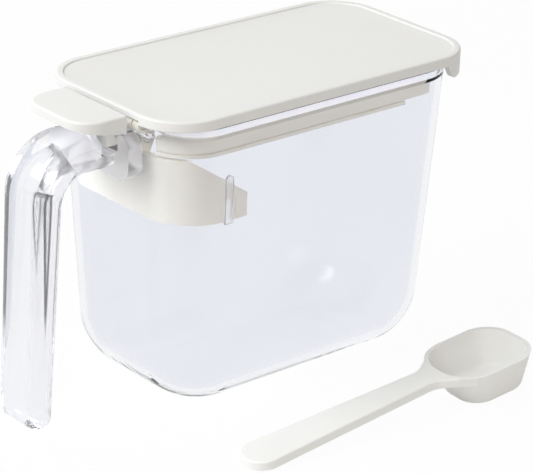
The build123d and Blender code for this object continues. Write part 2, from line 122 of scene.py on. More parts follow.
class ResinSettings(bpy.types.PropertyGroup):
    """Colours and finishes of the moulded plastics."""

    clear_tint: bpy.props.FloatVectorProperty(
        name="Clear resin tint", description="What a wall of the clear resin lets through",
        subtype="COLOR", size=4, min=0, max=1, default=(0.895, 0.905, 0.935, 1))
    bar_tint: bpy.props.FloatVectorProperty(
        name="Handle tint", description="What the thick handle bar lets through",
        subtype="COLOR", size=4, min=0, max=1, default=(0.88, 0.885, 0.92, 1))
    pad_tint: bpy.props.FloatVectorProperty(
        name="Pad tint", description="Colour of the cloudy pad behind the handle, and of the ribs",
        subtype="COLOR", size=4, min=0, max=1, default=(0.95, 0.95, 0.985, 1))
    # Painted shade: a warmer, brighter copy of the white resin, whose tint paints the warm shade on the band
    # and the bracket inside the pot and makes up for light that the clear walls and the lid hold back
    inner_white: bpy.props.FloatVectorProperty(
        name="Inner white", description="Colour of the lid's band and of the bracket inside the pot",
        subtype="COLOR", size=4, min=0, max=1, default=(0.93, 0.9, 0.83, 1))
    white: bpy.props.FloatVectorProperty(
        name="White resin", description="Colour of the lid plate, the lever and the pins",
        subtype="COLOR", size=4, min=0, max=1, default=(0.83, 0.83, 0.82, 1))
    spoon_white: bpy.props.FloatVectorProperty(
        name="Spoon white", description="Colour of the measuring spoon",
        subtype="COLOR", size=4, min=0, max=1, default=(0.93, 0.93, 0.915, 1))
    seal_tint: bpy.props.FloatVectorProperty(
        name="Seal colour", description="Colour of the soft seal",
        subtype="COLOR", size=4, min=0, max=1, default=(0.95, 0.955, 1, 1))
    clear_ior: bpy.props.FloatProperty(
        name="Clear resin IOR", description="Index of refraction of the clear walls and the pad",
        default=1.25, min=1.0, max=2.0)
    bar_ior: bpy.props.FloatProperty(
        name="Handle IOR", description="Index of refraction of the thick handle bar",
        default=1.47, min=1.0, max=2.0)
    satin: bpy.props.FloatProperty(
        name="Satin roughness", description="Roughness of the white moulded surfaces",
        default=0.42, min=0.0, max=1.0, subtype="FACTOR")


class PotSettings(bpy.types.PropertyGroup):
    """Sizes of the clear pot, the same as in the solids."""

    height: bpy.props.FloatProperty(
        name="Height", description="Table to rim", unit="LENGTH", default=0.1011)
    centre_x: bpy.props.FloatProperty(
        name="Centre", description="Middle of the pot along its length", unit="LENGTH", default=-0.00205)
    base: bpy.props.FloatVectorProperty(
        name="Base", description="Length, width and corner radius at the table",
        unit="LENGTH", size=3, default=(0.111, 0.0686, 0.0223))
    rim: bpy.props.FloatVectorProperty(
        name="Rim", description="Length, width and corner radius at the rim",
        unit="LENGTH", size=3, default=(0.1223, 0.0704, 0.017))
    base_round: bpy.props.FloatProperty(
        name="Base round", description="Radius of the rounded base edge", unit="LENGTH", default=0.02)
    wall: bpy.props.FloatProperty(
        name="Wall", description="Thickness of the wall", unit="LENGTH", default=0.0022)
    floor: bpy.props.FloatProperty(
        name="Floor", description="Thickness of the floor", unit="LENGTH", default=0.0026)
    inner_round: bpy.props.FloatProperty(
        name="Inner round", description="Radius of the round inside the base", unit="LENGTH", default=0.0175)
    rebate_z: bpy.props.FloatProperty(
        name="Rebate height", description="Where the thinner rim starts", unit="LENGTH", default=0.0975)
    rebate_depth: bpy.props.FloatProperty(
        name="Rebate depth", description="How much thinner the rim is", unit="LENGTH", default=0.0006)
    corner_steps: bpy.props.IntProperty(
        name="Corner steps", description="Points round each upright corner", default=24, min=4, max=64)
    round_steps: bpy.props.IntProperty(
        name="Round steps", description="Rings round the base edge", default=28, min=4, max=64)
    wall_steps: bpy.props.IntProperty(
        name="Wall steps", description="Rings up the wall", default=14, min=1, max=64)


class LidSettings(bpy.types.PropertyGroup):
    """Sizes of the lid plate and the seal, the same as in the solids, apart from a thicker lip."""

    plan: bpy.props.FloatVectorProperty(
        name="Plan", description="Length, width and corner radius of the lid",
        unit="LENGTH", size=3, default=(0.1316, 0.0716, 0.0172))
    top: bpy.props.FloatProperty(
        name="Top", description="Height of the raised rim", unit="LENGTH", default=0.105)
    panel: bpy.props.FloatProperty(
        name="Panel", description="Height of the panel inside the rim", unit="LENGTH", default=0.10445)
    panel_thickness: bpy.props.FloatProperty(
        name="Panel thickness", description="Thickness of the panel", unit="LENGTH", default=0.00145)
    bottom: bpy.props.FloatProperty(
        name="Bottom", description="Height of the lid's lower edge", unit="LENGTH", default=0.1014)
    wall: bpy.props.FloatProperty(
        name="Wall", description="Width of the lid's lower edge", unit="LENGTH", default=0.0034)
    rim: bpy.props.FloatProperty(
        name="Rim", description="Width of the raised rim", unit="LENGTH", default=0.0025)
    edge_round: bpy.props.FloatProperty(
        name="Edge round", description="Radius of the outer top edge", unit="LENGTH", default=0.0007)
    lip: bpy.props.FloatProperty(
        name="Lip", description="Height of the lip's lower edge", unit="LENGTH", default=0.0967)
    lip_wall: bpy.props.FloatProperty(
        name="Lip wall", description="Thickness of the lip", unit="LENGTH", default=0.0024)
    corner_steps: bpy.props.IntProperty(
        name="Corner steps", description="Points round each corner", default=24, min=4, max=64)
    round_steps: bpy.props.IntProperty(
        name="Round steps", description="Rings round each soft edge", default=5, min=2, max=16)
    seal_plan: bpy.props.FloatVectorProperty(
        name="Seal plan", description="Length, width and corner radius of the seal",
        unit="LENGTH", size=3, default=(0.1136, 0.0651, 0.0155))
    seal_centre: bpy.props.FloatVectorProperty(
        name="Seal centre", description="Middle of the seal ring",
        subtype="TRANSLATION", unit="LENGTH", size=3, default=(-0.0006, 0, 0.099375))
    seal_section: bpy.props.FloatVectorProperty(
        name="Seal section", description="Width, height and edge radius of the seal ring",
        unit="LENGTH", size=3, default=(0.00255, 0.00365, 0.0008))


class StageSettings(bpy.types.PropertyGroup):
    """Camera, lamps and table."""

    azimuth: bpy.props.FloatProperty(
        name="Azimuth", description="Camera's turn about the vertical, from behind -Y towards +X",
        default=math.radians(-41.07), subtype="ANGLE")
    elevation: bpy.props.FloatProperty(
        name="Elevation", description="Camera's height angle",
        default=math.radians(23.15), subtype="ANGLE")
    roll: bpy.props.FloatProperty(
        name="Roll", description="Camera's tilt in its own view",
        default=math.radians(1.88), subtype="ANGLE")
    camera_place: bpy.props.FloatVectorProperty(
        name="Camera place", description="Where the camera stands",
        subtype="TRANSLATION", unit="LENGTH", size=3, default=(-0.5279, -0.6109, 0.3865))
    lens: bpy.props.FloatProperty(
        name="Lens", description="Focal length in millimetres on a 36 mm wide sensor",
        default=176.1, min=10, max=500)
    world_light: bpy.props.FloatProperty(
        name="World light", description="Strength of the plain light from all round",
        default=0.42, min=0, max=5)
    world_colour: bpy.props.FloatVectorProperty(
        name="World colour", description="Colour of the plain light on the object",
        subtype="COLOR", size=4, min=0, max=1, default=(1, 0.965, 0.915, 1))
    lamp_target: bpy.props.FloatVectorProperty(
        name="Lamp target", description="Where both lamps point",
        subtype="TRANSLATION", unit="LENGTH", size=3, default=(0, 0, 0.05))
    key_power: bpy.props.FloatProperty(
        name="Key power", description="Power of the large lamp high on the handle's side",
        default=11.3, min=0, max=500, unit="POWER")
    key_place: bpy.props.FloatVectorProperty(
        name="Key place", description="Where the large lamp hangs",
        subtype="TRANSLATION", unit="LENGTH", size=3, default=(-0.8, 0.3, 0.95))
    key_size: bpy.props.FloatProperty(
        name="Key size", description="Width of the large lamp", unit="LENGTH", default=0.8)
    key_colour: bpy.props.FloatVectorProperty(
        name="Key colour", description="Colour of the large lamp",
        subtype="COLOR", size=3, min=0, max=1, default=(0.955, 0.985, 1))
    fill_power: bpy.props.FloatProperty(
        name="Fill power", description="Power of the lamp on the camera's side",
        default=1.8, min=0, max=500, unit="POWER")
    fill_place: bpy.props.FloatVectorProperty(
        name="Fill place", description="Where the lamp on the camera's side hangs",
        subtype="TRANSLATION", unit="LENGTH", size=3, default=(-0.45, -0.95, 0.45))
    fill_size: bpy.props.FloatProperty(
        name="Fill size", description="Width of the lamp on the camera's side", unit="LENGTH", default=0.7)
    fill_colour: bpy.props.FloatVectorProperty(
        name="Fill colour", description="Colour of the lamp on the camera's side",
        subtype="COLOR", size=3, min=0, max=1, default=(1, 0.93, 0.84))
    sheet_edge: bpy.props.FloatVectorProperty(
        name="Sheet edge", description="How far ahead of the pot the white sheet starts and ends to darken",
        unit="LENGTH", size=2, default=(0.135, 0.175))


def resin():
    return bpy.context.scene.container_resin


def pot_settings():
    return bpy.context.scene.container_pot


def lid_settings():
    return bpy.context.scene.container_lid


def stage_settings():
    return bpy.context.scene.container_stage


# Node helpers


def new_material(name):
    material = bpy.data.materials.new(name)
    material.use_nodes = True
    tree = material.node_tree
    return material, tree, tree.nodes["Principled BSDF"]


def material_once(name, maker, **values):
    return bpy.data.materials.get(name) or maker(name, **values)


def object_noise(tree, scale, detail=2.0):
    place = tree.nodes.new("ShaderNodeTexCoord")
    noise = tree.nodes.new("ShaderNodeTexNoise")
    noise.inputs["Scale"].default_value = scale
    noise.inputs["Detail"].default_value = detail
    tree.links.new(place.outputs["Object"], noise.inputs["Vector"])
    return noise


def colour_drift(tree, noise, colour, drift):
    """A colour that wanders by a small share either side of its value."""
    ramp = tree.nodes.new("ShaderNodeValToRGB")
    low, high = ramp.color_ramp.elements
    low.position, high.position = NOISE_BAND
    low.color = [c * (1 - drift) for c in colour[:3]] + [1]
    high.color = [min(1, c * (1 + drift)) for c in colour[:3]] + [1]
    tree.links.new(noise.outputs["Fac"], ramp.inputs["Fac"])
    return ramp.outputs["Color"]


def mapped_range(tree, value, given, wanted):
    """Maps a value from the given range to the wanted one."""
    mapped = tree.nodes.new("ShaderNodeMapRange")
    for name, number in zip(("From Min", "From Max", "To Min", "To Max"), (*given, *wanted)):
        mapped.inputs[name].default_value = number
    tree.links.new(value, mapped.inputs["Value"])
    return mapped.outputs["Result"]


def larger(tree, first, second):
    """The larger of two values."""
    node = tree.nodes.new("ShaderNodeMath")
    node.operation = "MAXIMUM"
    tree.links.new(first, node.inputs[0])
    tree.links.new(second, node.inputs[1])
    return node.outputs["Value"]


def seen_plainly(tree, path):
    """1 for rays from the camera, off a gloss and through clear resin, and 0 for the light on the object."""
    seen = larger(tree, path.outputs["Is Camera Ray"], path.outputs["Is Glossy Ray"])
    return larger(tree, seen, path.outputs["Is Transmission Ray"])


def add_bump(tree, shader, noise, strength, distance):
    bump = tree.nodes.new("ShaderNodeBump")
    bump.inputs["Strength"].default_value = strength
    bump.inputs["Distance"].default_value = distance
    tree.links.new(noise.outputs["Fac"], bump.inputs["Height"])
    tree.links.new(bump.outputs["Normal"], shader.inputs["Normal"])


def mixed_surface(tree, share, first, second):
    """Gives the material a mix of two shaders, with the second one's share."""
    mix = tree.nodes.new("ShaderNodeMixShader")
    tree.links.new(share, mix.inputs["Fac"])
    tree.links.new(first.outputs["BSDF"], mix.inputs[1])
    tree.links.new(second.outputs[0], mix.inputs[2])
    tree.links.new(mix.outputs["Shader"], tree.nodes["Material Output"].inputs["Surface"])


# Materials


def satin_resin(name, colour, roughness):
    """Moulded white plastic: a fine spark texture, a faint drift in colour and a soft sheen."""
    material, tree, shader = new_material(name)
    broad = object_noise(tree, scale=38.0, detail=3.0)
    grain = object_noise(tree, scale=2400.0)
    gloss_range = (roughness - SATIN_DRIFT, roughness + SATIN_DRIFT)
    gloss = mapped_range(tree, broad.outputs["Fac"], NOISE_BAND, gloss_range)
    tree.links.new(colour_drift(tree, broad, colour, drift=0.008), shader.inputs["Base Color"])
    tree.links.new(gloss, shader.inputs["Roughness"])
    shader.inputs["IOR"].default_value = 1.5
    shader.inputs["Specular IOR Level"].default_value = 0.42
    shader.inputs["Subsurface Weight"].default_value = 0.12
    shader.inputs["Subsurface Radius"].default_value = (1.0, 0.85, 0.6)
    shader.inputs["Subsurface Scale"].default_value = 0.0012
    add_bump(tree, shader, grain, strength=0.12, distance=0.00004)
    return material


def clear_plastic(name, colour, ior, roughness, cloud, waviness):
    """Clear moulded resin: clean gloss, a faint tint, a moulded wall's slow waves and a share of cloud."""
    material, tree, shader = new_material(name)
    broad = object_noise(tree, scale=26.0, detail=1.0)
    tree.links.new(colour_drift(tree, broad, colour, drift=0.006), shader.inputs["Base Color"])
    shader.inputs["Roughness"].default_value = roughness
    shader.inputs["IOR"].default_value = ior
    shader.inputs["Transmission Weight"].default_value = 1.0 - cloud
    shader.inputs["Specular IOR Level"].default_value = 0.3
    add_bump(tree, shader, broad, strength=0.25, distance=waviness)

    # Lamp light passes through the clear walls, so what is inside is lit evenly
    through = tree.nodes.new("ShaderNodeBsdfTransparent")
    through.inputs["Color"].default_value = (0.99, 0.985, 0.975, 1)
    path = tree.nodes.new("ShaderNodeLightPath")
    mixed_surface(tree, path.outputs["Is Shadow Ray"], shader, through)
    return material


def soft_seal(name, colour):
    """Translucent soft ring: cool white, slightly glossy, with a faint painted glow that brightens it in the
    lid's shade.
    """
    material, tree, shader = new_material(name)
    broad = object_noise(tree, scale=60.0)
    gloss = mapped_range(tree, broad.outputs["Fac"], NOISE_BAND, SEAL_ROUGHNESS)
    tree.links.new(colour_drift(tree, broad, colour, drift=0.02), shader.inputs["Base Color"])
    tree.links.new(gloss, shader.inputs["Roughness"])
    shader.inputs["IOR"].default_value = 1.41
    shader.inputs["Subsurface Weight"].default_value = 0.4
    shader.inputs["Subsurface Scale"].default_value = 0.003
    # Painted glow: the ring gives off a little light of its own, standing in for light it does not get in
    # the lid's shade
    shader.inputs["Emission Color"].default_value = (0.9, 0.91, 1, 1)
    shader.inputs["Emission Strength"].default_value = 0.36
    add_bump(tree, shader, object_noise(tree, scale=900.0), strength=0.1, distance=0.00005)
    return material


def white_sheet(name, towards_camera, edge):
    """Plain white for the camera and through the clear resin, with a faint shadow."""
    material, tree, shader = new_material(name)
    shader.inputs["Base Color"].default_value = (0.82, 0.82, 0.82, 1)
    shader.inputs["Roughness"].default_value = 0.9
    shader.inputs["Specular IOR Level"].default_value = 0.1
    path = tree.nodes.new("ShaderNodeLightPath")

    # The sheet darkens in front of the object: only the resin's reflections see that edge
    place = tree.nodes.new("ShaderNodeTexCoord")
    ahead = tree.nodes.new("ShaderNodeVectorMath")
    ahead.operation = "DOT_PRODUCT"
    ahead.inputs[1].default_value = towards_camera
    tree.links.new(place.outputs["Object"], ahead.inputs[0])
    darkening = mapped_range(tree, ahead.outputs["Value"], edge, SHEET_GLOW)
    glow = tree.nodes.new("ShaderNodeEmission")
    glow.inputs["Color"].default_value = (1, 1, 1, 1)
    tree.links.new(larger(tree, darkening, path.outputs["Is Camera Ray"]), glow.inputs["Strength"])

    # The rest of the share is the shaded sheet, which shows the faint shadow
    share = mapped_range(tree, seen_plainly(tree, path), (0, 1), (0, SHEET_SHARE))
    mixed_surface(tree, share, shader, glow)
    return material


def white_resin():
    return material_once("WhiteResin", satin_resin, colour=resin().white, roughness=resin().satin)


# Mesh helpers


def smooth_by_angle(mesh, crease):
    if "custom_normal" in mesh.attributes:
        mesh.attributes.remove(mesh.attributes["custom_normal"])
    mesh.shade_smooth()
    mesh.set_sharp_from_angle(angle=math.radians(crease))


def linked_object(name, data):
    thing = bpy.data.objects.new(name, data)
    bpy.context.scene.collection.objects.link(thing)
    return thing


def smooth_copy(node, name):
    """A merged copy of a CAD node's mesh, smooth except at its creases."""
    mesh = NODES[node].data.copy()
    mesh.name = name
    work = bmesh.new()
    work.from_mesh(mesh)
    bmesh.ops.remove_doubles(work, verts=work.verts, dist=MERGE)
    bmesh.ops.dissolve_degenerate(work, edges=work.edges, dist=FINE_MERGE)
    work.to_mesh(mesh)
    work.free()
    smooth_by_angle(mesh, COPY_CREASE)
    return linked_object(name, mesh)


def solid_object(name, rings):
    """A closed solid through rings of equal length, with flat caps."""
    count = len(rings[0])
    verts = [point for ring in rings for point in ring]
    faces = []
    for level in range(len(rings) - 1):
        for step in range(count):
            after = (step + 1) % count
            low, high = level * count, (level + 1) * count
            faces.append((low + step, low + after, high + after, high + step))
    faces.append(tuple(reversed(range(count))))
    faces.append(tuple(range(len(verts) - count, len(verts))))

    mesh = bpy.data.meshes.new(name)
    mesh.from_pydata(verts, [], faces)
    work = bmesh.new()
    work.from_mesh(mesh)
    bmesh.ops.recalc_face_normals(work, faces=work.faces)
    work.to_mesh(mesh)
    work.free()
    return linked_object(name, mesh)


def settle(piece, modifier):
    """Turns a piece and its modifier into a plain mesh."""
    mesh = bpy.data.meshes.new_from_object(piece.evaluated_get(bpy.context.evaluated_depsgraph_get()))
    if not mesh.polygons:
        raise RuntimeError(f"{piece.name} came out empty")
    piece.modifiers.remove(modifier)
    piece.data = mesh


def combine(piece, tool, operation):
    """Adds or cuts tool, then deletes it."""
    cut = piece.modifiers.new("cut", "BOOLEAN")
    cut.operation = operation
    cut.solver = "EXACT"
    cut.object = tool
    settle(piece, cut)
    bpy.data.objects.remove(tool)


def quarter_turn(steps):
    """Sine and cosine at even steps over a quarter turn, both ends included."""
    angles = [step / steps * math.pi / 2 for step in range(steps + 1)]
    return [(math.sin(angle), math.cos(angle)) for angle in angles]


def rounded_ring(length, width, corner, centre_x, z, steps):
    """Points of a rounded rectangle, counter-clockwise seen from above."""
    points = []
    for quarter, (side_x, side_y) in enumerate(((1, 1), (-1, 1), (-1, -1), (1, -1))):
        for step in range(steps + 1):
            angle = quarter * math.pi / 2 + step / steps * math.pi / 2
            x = side_x * (length / 2 - corner) + corner * math.cos(angle)
            y = side_y * (width / 2 - corner) + corner * math.sin(angle)
            points.append((centre_x + x, y, z))
    return points


def box_object(name, low, high, corner=0):
    """A box whose four edges along X may have a radius."""
    if corner:
        size = [b - a for a, b in zip(low, high)]
        middle = [(a + b) / 2 for a, b in zip(low, high)]
        flat = rounded_ring(size[1], size[2], corner, 0, 0, BOSS_CORNER_STEPS)
        around = [(middle[1] + a, middle[2] + b) for a, b, _ in flat]
    else:
        around = [(low[1], low[2]), (high[1], low[2]), (high[1], high[2]), (low[1], high[2])]
    return solid_object(name, [[(x, y, z) for y, z in around] for x in (low[0], high[0])])


def finish_piece(piece, body, slot, material, *replaced):
    piece.data.materials.clear()
    piece.data.materials.append(material)
    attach(piece, body)
    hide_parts(*replaced)


# The clear pot


def pot_ring(pot, inset, z):
    """The tapered pot's outline at height z, drawn in by inset."""
    share = z / pot.height
    length, width, corner = [b + (r - b) * share for b, r in zip(pot.base, pot.rim)]
    corner = max(corner - inset, LEAST_CORNER)
    return rounded_ring(length - 2 * inset, width - 2 * inset, corner, pot.centre_x, z, pot.corner_steps)


def base_rings(pot, inset, radius, low):
    """Rings round the base edge, from its flat at height low up to where the wall starts."""
    return [
        pot_ring(pot, inset + radius * (1 - sine), low + radius * (1 - cosine))
        for sine, cosine in quarter_turn(pot.round_steps)[:-1]
    ]


def wall_rings(pot, inset, low, high):
    """Even rings up the wall between two heights, drawn in by inset."""
    steps = pot.wall_steps
    return [pot_ring(pot, inset, low + (high - low) * step / steps) for step in range(steps + 1)]


def handle_copy():
    """The bar's own solid, its end moved a little way into the pad so that the two become one."""
    bar = smooth_copy("handle", "bar")
    end_x = max(vertex.co.x for vertex in bar.data.vertices)
    for vertex in bar.data.vertices:
        if vertex.co.x > end_x - BAR_END_REACH:
            vertex.co.x += BAR_OVERLAP
    return bar


def rib_solid(pot, side):
    """An upright rib inside a long wall, with a rounded top end."""
    wall_y = pot.rim[1] / 2 - pot.wall / 2
    half = RIB_WIDTH / 2
    outline = [(RIB_X - half, RIB_LOW_Z), (RIB_X + half, RIB_LOW_Z)]
    for step in range(RIB_TOP_STEPS + 1):
        angle = step / RIB_TOP_STEPS * math.pi
        outline.append((RIB_X + half * math.cos(angle), RIB_HIGH_Z - half + half * math.sin(angle)))
    places = (wall_y, pot.rim[1] / 2 - RIB_REACH)
    return solid_object("rib", [[(x, side * y, z) for x, z in outline] for y in places])


def on_pad(point):
    above_low = point.z > BOSS_LOW[2] - FACE_SLACK
    return point.x < PAD_END_X and above_low and abs(point.y) < BOSS_HIGH[1] + FACE_SLACK


def on_rib(point, pot):
    reach = pot.rim[1] / 2 - RIB_REACH - FACE_SLACK
    wall = pot.rim[1] / 2 - pot.wall + 2 * FACE_SLACK
    beside = abs(point.x - RIB_X) < RIB_WIDTH / 2 + FACE_SLACK
    upright = RIB_LOW_Z - FACE_SLACK < point.z < RIB_HIGH_Z + FACE_SLACK
    return beside and upright and reach < abs(point.y) < wall


class CONTAINER_OT_pot(bpy.types.Operator):
    """Make the clear pot with its handle as one moulding"""

    bl_idname = "container.pot"
    bl_label = "Clear pot and handle"

    def execute(self, context):
        pot = pot_settings()
        above = pot.height + ABOVE_RIM
        outer = base_rings(pot, 0, pot.base_round, 0) + wall_rings(pot, 0, pot.base_round, pot.height)
        inner = base_rings(pot, pot.wall, pot.inner_round, pot.floor)
        inner += wall_rings(pot, pot.wall, pot.floor + pot.inner_round, above)
        rebate = [pot_ring(pot, pot.wall + REBATE_START_EXTRA, pot.rebate_z - REBATE_HALF_SLOPE)]
        rebate += wall_rings(pot, pot.wall - pot.rebate_depth, pot.rebate_z + REBATE_HALF_SLOPE, above)

        piece = solid_object("clear_pot", outer)
        combine(piece, box_object("boss", BOSS_LOW, BOSS_HIGH, BOSS_CORNER), "UNION")
        combine(piece, solid_object("inner", inner), "DIFFERENCE")
        combine(piece, solid_object("rebate", rebate), "DIFFERENCE")
        combine(piece, handle_copy(), "UNION")
        for side in (-1, 1):
            combine(piece, rib_solid(pot, side), "UNION")
        for low, high in (HINGE_NOTCH, LEVER_SLOT):
            combine(piece, box_object("notch", low, high), "DIFFERENCE")
        smooth_by_angle(piece.data, POT_CREASE)

        kit = resin()
        clear = material_once(
            "ClearResin", clear_plastic, colour=kit.clear_tint, ior=kit.clear_ior,
            roughness=0.012, cloud=0, waviness=0.00006)
        bar = material_once(
            "BarResin", clear_plastic, colour=kit.bar_tint, ior=kit.bar_ior,
            roughness=0.035, cloud=0.06, waviness=0.0001)
        pad = material_once(
            "PadResin", clear_plastic, colour=kit.pad_tint, ior=kit.clear_ior,
            roughness=0.22, cloud=0.42, waviness=0.0001)
        finish_piece(piece, "container", "clear_resin", clear, "container_body", "handle")
        piece.data.materials.append(bar)
        piece.data.materials.append(pad)
        for face in piece.data.polygons:
            middle = face.center
            if middle.x < BAR_END_X:
                face.material_index = BAR_SLOT
            elif on_pad(middle) or on_rib(middle, pot):
                face.material_index = PAD_SLOT
        return {"FINISHED"}


# The lid plate


def lid_ring(lid, inset, z):
    length, width, corner = lid.plan
    return rounded_ring(length - 2 * inset, width - 2 * inset, corner - inset, 0, z, lid.corner_steps)


def lid_profile(lid):
    """Inset and height of each ring, from the hollow's ceiling round the outer edge to the panel."""
    turn = quarter_turn(lid.round_steps)
    soft = (lid.top - lid.panel) / 2
    profile = [(lid.wall, lid.panel - lid.panel_thickness), (lid.wall, lid.bottom)]
    profile += [(lid.edge_round / 2, lid.bottom), (0, lid.bottom + lid.edge_round / 2)]
    for sine, cosine in turn:
        profile.append((lid.edge_round * (1 - cosine), lid.top - lid.edge_round * (1 - sine)))
    for sine, cosine in turn:
        profile.append((lid.rim + soft * (sine - 1), lid.top - soft * (1 - cosine)))
    for sine, cosine in turn[1:]:
        profile.append((lid.rim + soft * (1 - cosine), lid.panel + soft * (1 - sine)))
    return profile


def lip_solid(lid):
    """The deeper lip round the lid's far end."""
    heights = (lid.lip, lid.bottom + LIP_OVERLAP)
    lip = solid_object("lip", [lid_ring(lid, 0, z) for z in heights])
    core_heights = (lid.lip - LIP_CORE_DROP, lid.top)
    combine(lip, solid_object("core", [lid_ring(lid, lid.lip_wall, z) for z in core_heights]), "DIFFERENCE")
    side = [[(x, y, z) for x, z in LIP_SIDE] for y in (-LIP_SIDE_HALF_WIDTH, LIP_SIDE_HALF_WIDTH)]
    combine(lip, solid_object("side", side), "INTERSECT")
    return lip


class CONTAINER_OT_lid(bpy.types.Operator):
    """Make the lid plate with its raised rim and its deeper lip"""

    bl_idname = "container.lid"
    bl_label = "Lid plate"

    def execute(self, context):
        lid = lid_settings()
        plate = solid_object("lid_plate", [lid_ring(lid, inset, z) for inset, z in lid_profile(lid)])
        combine(plate, lip_solid(lid), "UNION")
        low = (LID_REAR_X[0], -LID_REAR_HALF, lid.lip)
        high = (LID_REAR_X[1], LID_REAR_HALF, lid.panel - lid.panel_thickness)
        combine(plate, box_object("rear_cut", low, high), "DIFFERENCE")
        smooth_by_angle(plate.data, LID_CREASE)
        finish_piece(plate, "lid", "white_resin", white_resin(), "lid_cover")
        return {"FINISHED"}


# The other white parts


class CONTAINER_OT_white_parts(bpy.types.Operator):
    """Make the lid's band, the bracket and the lever"""

    bl_idname = "container.white_parts"
    bl_label = "White mouldings"

    def execute(self, context):
        kit = resin()
        # The band and the bracket get the warm copy of the white resin, with painted warm shade in its
        # colour
        inner = material_once("InnerWhiteResin", satin_resin, colour=kit.inner_white, roughness=kit.satin)
        for node, name, body, material in (
            ("lid_frame", "lid_band", "lid", inner),
            ("hinge_bracket", "inner_bracket", "container", inner),
            ("thumb_lever", "thumb_tab", "lever", white_resin()),
        ):
            finish_piece(smooth_copy(node, name), body, "white_resin", material, node)
        return {"FINISHED"}


# The seal and the pins


def rounded_loop(tree, length, width, radius, count):
    """A closed curve, a rectangle with round corners, sized by the sockets given."""
    loop = tree.nodes.new("GeometryNodeCurvePrimitiveQuadrilateral")
    soft = tree.nodes.new("GeometryNodeFilletCurve")
    soft.mode = "POLY"
    soft.inputs["Count"].default_value = count
    tree.links.new(length, loop.inputs["Width"])
    tree.links.new(width, loop.inputs["Height"])
    tree.links.new(loop.outputs["Curve"], soft.inputs["Curve"])
    tree.links.new(radius, soft.inputs["Radius"])
    return soft.outputs["Curve"]


def swept_ring_tree():
    """Sweeps a small round-cornered section along a round-cornered loop."""
    tree = bpy.data.node_groups.new("SweptRing", "GeometryNodeTree")
    names = ("Loop Length", "Loop Width", "Loop Corner", "Section Width", "Section Height", "Section Corner")
    for name in names:
        socket = tree.interface.new_socket(name=name, in_out="INPUT", socket_type="NodeSocketFloat")
        socket.subtype = "DISTANCE"
        socket.min_value = 0.0
    tree.interface.new_socket(name="Centre", in_out="INPUT", socket_type="NodeSocketVector")
    tree.interface.new_socket(name="Material", in_out="INPUT", socket_type="NodeSocketMaterial")
    tree.interface.new_socket(name="Geometry", in_out="OUTPUT", socket_type="NodeSocketGeometry")
    given = tree.nodes.new("NodeGroupInput")
    result = tree.nodes.new("NodeGroupOutput")
    loop = rounded_loop(tree, *[given.outputs[name] for name in names[:3]], SEAL_LOOP_STEPS)
    section = rounded_loop(tree, *[given.outputs[name] for name in names[3:]], SEAL_SECTION_STEPS)
    sweep = tree.nodes.new("GeometryNodeCurveToMesh")
    place = tree.nodes.new("GeometryNodeTransform")
    real = tree.nodes.new("GeometryNodeRealizeInstances")
    paint = tree.nodes.new("GeometryNodeSetMaterial")
    tree.links.new(loop, sweep.inputs["Curve"])
    tree.links.new(section, sweep.inputs["Profile Curve"])
    tree.links.new(sweep.outputs["Mesh"], place.inputs["Geometry"])
    tree.links.new(given.outputs["Centre"], place.inputs["Translation"])
    tree.links.new(place.outputs["Geometry"], real.inputs["Geometry"])
    tree.links.new(real.outputs["Geometry"], paint.inputs["Geometry"])
    tree.links.new(given.outputs["Material"], paint.inputs["Material"])
    tree.links.new(paint.outputs["Geometry"], result.inputs["Geometry"])
    return tree


def grown_piece(name, tree, values):
    """The mesh that a node tree makes from these named inputs."""
    piece = linked_object(name, bpy.data.meshes.new(name))
    grow = piece.modifiers.new("grow", "NODES")
    grow.node_group = tree
    for socket in tree.interface.items_tree:
        if socket.in_out == "INPUT":
            grow[socket.identifier] = values[socket.name]
    settle(piece, grow)
    work = bmesh.new()
    work.from_mesh(piece.data)
    bmesh.ops.remove_doubles(work, verts=work.verts, dist=FINE_MERGE)
    bmesh.ops.recalc_face_normals(work, faces=work.faces)
    if work.calc_volume(signed=True) < 0:
        bmesh.ops.reverse_faces(work, faces=work.faces)
    work.to_mesh(piece.data)
    work.free()
    return piece


class CONTAINER_OT_seal_and_pins(bpy.types.Operator):
    """Make the soft seal and the hinge pins"""

    bl_idname = "container.seal_and_pins"
    bl_label = "Seal and pins"

    def execute(self, context):
        lid = lid_settings()
        seal = material_once("SoftSeal", soft_seal, colour=resin().seal_tint)
        wide, high, edge = lid.seal_section
        length, width, corner = lid.seal_plan
        ring = grown_piece("seal_ring", swept_ring_tree(), {
            "Loop Length": length - wide, "Loop Width": width - wide, "Loop Corner": corner - wide / 2,
            "Section Width": wide, "Section Height": high, "Section Corner": edge,
            "Centre": tuple(lid.seal_centre), "Material": seal,
        })
        smooth_by_angle(ring.data, SEAL_CREASE)
        finish_piece(ring, "lid", "seal_rubber", seal, "lid_seal")
        pin = material_once("PinResin", satin_resin, colour=resin().white, roughness=0.3)
        for node in ("lid_hinge_pins", "lever_pivot_pins"):
            finish_piece(smooth_copy(node, node + "_pair"), "container", "pin_resin", pin, node)
        return {"FINISHED"}


# The spoon


class CONTAINER_OT_spoon(bpy.types.Operator):
    """Make the loose measuring spoon"""

    bl_idname = "container.spoon"
    bl_label = "Measuring spoon"

    def execute(self, context):
        kit = resin()
        white = material_once("SpoonResin", satin_resin, colour=kit.spoon_white, roughness=kit.satin)
        spoon = smooth_copy("measuring_spoon", "spoon")
        finish_piece(spoon, "spoon", "spoon_resin", white, "measuring_spoon")
        return {"FINISHED"}


# The stage


def add_area_lamp(name, place, target, power, size, colour):
    lamp = bpy.data.lights.new(name, "AREA")
    lamp.energy = power
    lamp.shape = "DISK"
    lamp.size = size
    lamp.color = colour
    thing = linked_object(name, lamp)
    thing.location = place
    thing.rotation_mode = "QUATERNION"
    thing.rotation_quaternion = (Vector(target) - Vector(place)).to_track_quat("-Z", "Y")


